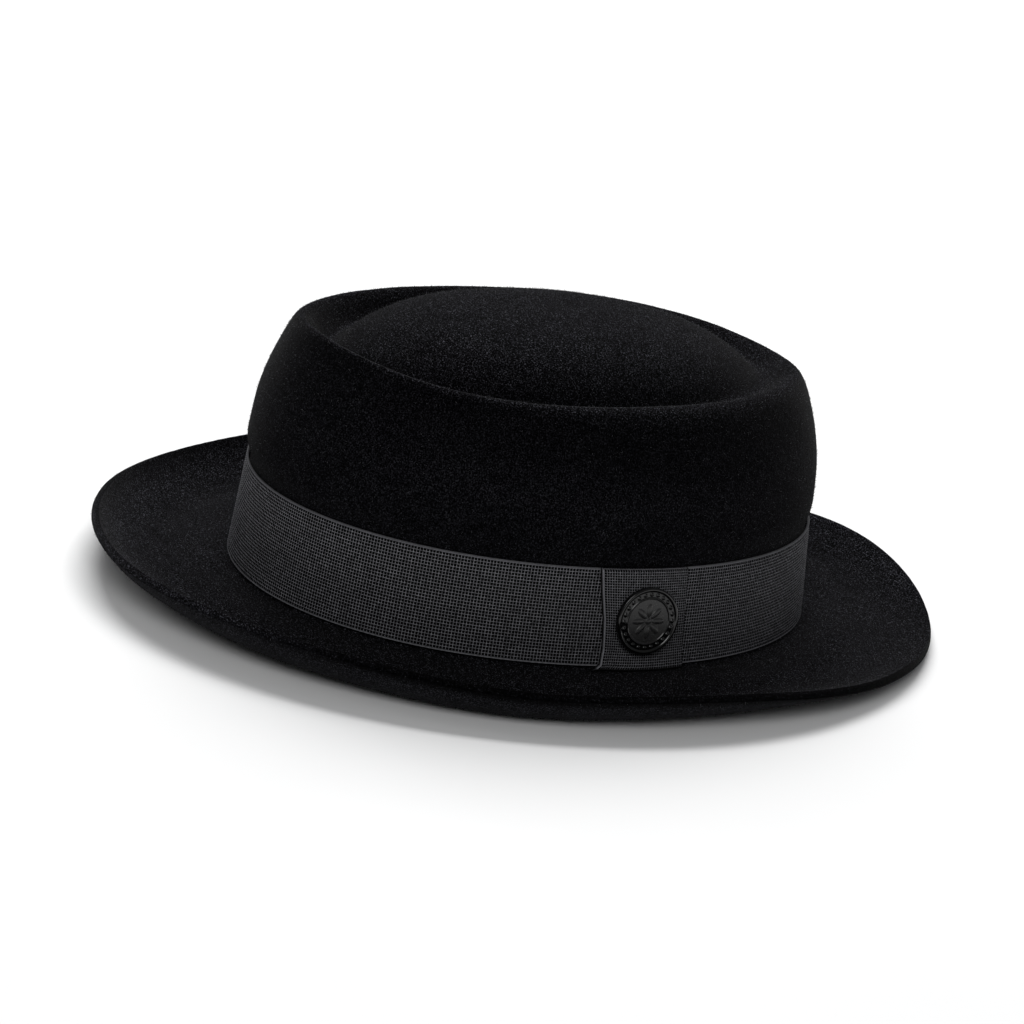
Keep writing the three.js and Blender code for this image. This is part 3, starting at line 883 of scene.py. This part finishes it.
def weave_look(name, cells, start, span, tone, hole, hem_shade, border_shade=((0, 1), (1, 1))):
    """A plain weave with small square holes.

    cells and start are along the map's U and V, the holes lie within the two spans of cells, border_shade
    and hem_shade darken the thread with painted shade along U and along V.
    """
    look = Look(name, Roughness=0.7, Specular_IOR_Level=0.05)
    chart = look.chart()
    across = look.math("MULTIPLY_ADD", chart["X"], cells[0], -start[0])
    up = look.math("MULTIPLY_ADD", chart["Y"], cells[1], -start[1])
    from_hole, thread_tone = [], []
    for value in (across, up):
        number = look.math("FLOOR", value)
        random = look.node("TexWhiteNoise", {"W": number}, noise_dimensions="1D").outputs["Value"]
        thread_tone.append(look.math("MULTIPLY_ADD", random, 0.1, 0.95))
        turn = look.math("FRACT", look.math("ADD", value, 0.5))
        from_hole.append(look.math("ABSOLUTE", look.math("SUBTRACT", turn, 0.5)))
    reach = look.math("MAXIMUM", *from_hole)
    where = look.place()
    wobble = look.noise(where, 0.9 * MM, 2)
    edge = look.math("MULTIPLY_ADD", wobble, HOLE_WOBBLE, hole - HOLE_WOBBLE / 2)
    inside = look.math("DIVIDE", look.math("SUBTRACT", edge, reach), HOLE_SOFTNESS)
    opened = look.node("Clamp", {"Value": inside}).outputs[0]
    for value, (low, high) in zip((across, up), span):
        past_low = look.math("GREATER_THAN", value, low)
        before_high = look.math("LESS_THAN", value, high)
        opened = look.math("MULTIPLY", opened, look.math("MULTIPLY", past_low, before_high))
    turns = look.math("ADD", look.math("MULTIPLY", across, 3.0), up)
    twist = look.math("SINE", look.math("MULTIPLY", turns, FULL_TURN))
    ply = look.math("MULTIPLY_ADD", twist, 0.18, 0.82)
    ply = look.math("MULTIPLY", ply, look.math("MULTIPLY", *thread_tone))
    plied = look.node("CombineXYZ", {"X": ply, "Y": ply, "Z": ply}).outputs[0]
    fibre = look.noise(where, 0.22 * MM, 3, 0.6)
    cloud = look.noise(where, 9 * MM, 2)
    thread = look.ramp(fibre, (0.3, grey(tone * THREAD_DARK)), (0.72, grey(tone * THREAD_LIGHT)))
    thread = look.multiply(thread, look.ramp(cloud, *THREAD_CLOUD))
    thread = look.multiply(thread, plied)
    thread = look.multiply(thread, look.ramp(chart["X"], *border_shade))
    thread = look.multiply(thread, look.ramp(chart["Y"], *hem_shade))
    # The holes are painted near black, as shade in them.
    look.set("Base Color", look.blend(opened, thread, HOLE_SHADE_BLACK))
    look.set("Normal", look.bump(look.math("SUBTRACT", fibre, opened), 0.12 * MM, 0.6))
    return look.material


BADGE_BLACK = (0.0018, 0.0018, 0.0019, 1)
BADGE_WORN = ((0.35, (0.013, 0.0128, 0.013)), (0.75, (0.017, 0.0167, 0.017)))


def badge_look():
    """Gloss black paint, with a duller and lighter disc."""
    look = Look("badge_metal", Metallic=0.0, IOR=1.5, Specular_IOR_Level=0.42)
    where = look.place()
    dust = look.noise(where, 0.5 * MM, 4, 0.65)
    disc = look.value("disc")
    look.set("Base Color", look.blend(disc, BADGE_BLACK, look.ramp(dust, *BADGE_WORN)))
    gloss = look.math("MULTIPLY_ADD", dust, 0.12, 0.04)
    look.set("Roughness", look.math("MULTIPLY_ADD", disc, 0.16, gloss))
    look.set("Normal", look.bump(look.noise(where, 1.6 * MM, 2), 0.05 * MM, 0.25))
    return look.material


def floor_look():
    look = Look("floor", Roughness=0.9, Specular_IOR_Level=0.1)
    fine = look.noise(look.place(), 40 * MM, 2)
    look.set("Base Color", look.ramp(fine, (0.3, 0.785), (0.7, 0.79)))
    return look.material


def hat():
    """Builds the pieces in the hat's own frame, leaned and moved to where the CAD felt lies."""
    grid, rings, normals, (crest_at, band_top, band_foot) = felt_grid()
    lean = lean_of(grid.reshape(-1, 3))
    turned = leaned(grid, lean)
    low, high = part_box("felt_body")
    middle_y = (turned[..., 1].min() + turned[..., 1].max()) / 2
    shift = np.array([0, (low.y + high.y) / 2 - middle_y, high.z - turned[..., 2].max()])
    grid = resting(grid, lean, shift)
    grid[..., 2] = np.maximum(grid[..., 2], 0)
    points, faces = closed_rings(grid)
    felt = mesh_object("felt_body_fine", points, faces, felt_look())

    # cut marks painted shade: it is 1 on the cut edge and the underside just inside it at the sides,
    # and less at front and back. brim is 1 on the brim.
    last = len(rings)
    ring = np.minimum(np.arange(len(points)) // AROUND, len(grid) - 1)
    turn = np.arange(len(points)) % AROUND / AROUND * FULL_TURN
    cut = smooth(ring, last - 0.5, last + 1) * (1 - smooth(ring, last + 9, last + 12))
    cut = cut * mix(0.25, 1, smooth(np.abs(np.sin(turn)), 0.3, 0.7))
    point_values(felt, "cut", cut)
    point_values(felt, "brim", smooth(ring, band_foot - 4, band_foot))
    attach(felt, "root")
    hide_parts("felt_body")

    ribbon_band(lean, shift)
    ribbon_keeper(lean, shift)
    pin_badge(badge_look(), lean, shift)

    outer, below = grid[:last], grid[last:]
    away = leaned(normals, lean)
    below_away = felt_normals(below)
    nap_material = nap_look()
    areas = (
        ("top", outer, away, slice(0, crest_at + 8)),
        ("wall", outer, away, slice(crest_at + 6, band_top + 1)),
        ("brim", outer, away, slice(band_foot - 2, None)),
        ("edge", below, below_away, slice(6, 50)),
    )
    for seed, (name, surface, out, part) in enumerate(areas, NAP_SEED):
        nap("felt_nap_" + name, surface[part], out[part], NAP_COUNTS[name], seed, nap_material)


# The camera looks at the target from this far, this far round from the hat's front, and this far up.
CAMERA_TARGET = (-8.18 * MM, 1.29 * MM, 23.91 * MM)
CAMERA_ROUND = 55.835
CAMERA_UP = 18.264
CAMERA_ROLL = 9.154
CAMERA_DISTANCE = 1285 * MM
CAMERA_LENS = 133.36
CAMERA_SENSOR = 36

# Softboxes: angle round from the hat's front, angle above the floor, distance, size and watts
LIGHTS = {
    "back_light": (242, 49, 3.0, (2.2, 1.8), 130),
    "front_light": (54, 38, 2.2, (1.2, 1.0), 18),
    "left_light": (-30, 30, 1.6, (0.3, 0.5), 0.8),
}
LIGHT_TARGET = (0, 0, 0.04)
WORLD_COLOUR = (0.97, 0.985, 1, 1)
WORLD_STRENGTH = 0.18
FLOOR_REACH = 8.0


def toward(around, up):
    """The direction at that angle round from the hat's front and that angle above the floor."""
    a, e = math.radians(around), math.radians(up)
    return np.array([math.sin(a) * math.cos(e), -math.cos(a) * math.cos(e), math.sin(e)])


def add_looking(name, data, target, around, up, distance, roll=0.0):
    """Adds a camera or light at that place, turned towards the target."""
    back = toward(around, up)
    level = np.array([-back[1], back[0], 0]) / math.hypot(back[0], back[1])
    above = np.cross(back, level)
    turn = math.radians(roll)
    right = level * math.cos(turn) + above * math.sin(turn)
    rotation = Matrix(np.stack([right, np.cross(back, right), back], 1).tolist())
    made = bpy.data.objects.new(name, data)
    bpy.context.scene.collection.objects.link(made)
    made.matrix_world = Matrix.Translation(np.array(target) + back * distance) @ rotation.to_4x4()
    return made


def add_camera():
    data = bpy.data.cameras.new("camera")
    data.sensor_fit = "HORIZONTAL"
    data.sensor_width = CAMERA_SENSOR
    data.lens = CAMERA_LENS
    data.clip_start = 0.05
    bpy.context.scene.camera = add_looking(
        "camera", data, CAMERA_TARGET, CAMERA_ROUND, CAMERA_UP, CAMERA_DISTANCE, CAMERA_ROLL
    )


def studio():
    world = bpy.data.worlds.new("studio")
    world.use_nodes = True
    background = world.node_tree.nodes["Background"]
    background.inputs["Color"].default_value = WORLD_COLOUR
    background.inputs["Strength"].default_value = WORLD_STRENGTH
    bpy.context.scene.world = world
    for name, (around, up, distance, size, watts) in LIGHTS.items():
        data = bpy.data.lights.new(name, "AREA")
        data.shape = "RECTANGLE"
        data.size, data.size_y = size
        data.energy = watts
        add_looking(name, data, LIGHT_TARGET, around, up, distance)

    corners = [(x * FLOOR_REACH, y * FLOOR_REACH, 0) for x, y in ((-1, -1), (1, -1), (1, 1), (-1, 1))]
    mesh = bpy.data.meshes.new("floor")
    mesh.from_pydata(corners, [], [[0, 1, 2, 3]])
    mesh.materials.append(floor_look())
    floor = bpy.data.objects.new("floor", mesh)
    bpy.context.scene.collection.objects.link(floor)
    bpy.context.scene.view_settings.view_transform = "Standard"


add_camera()
studio()
hat()
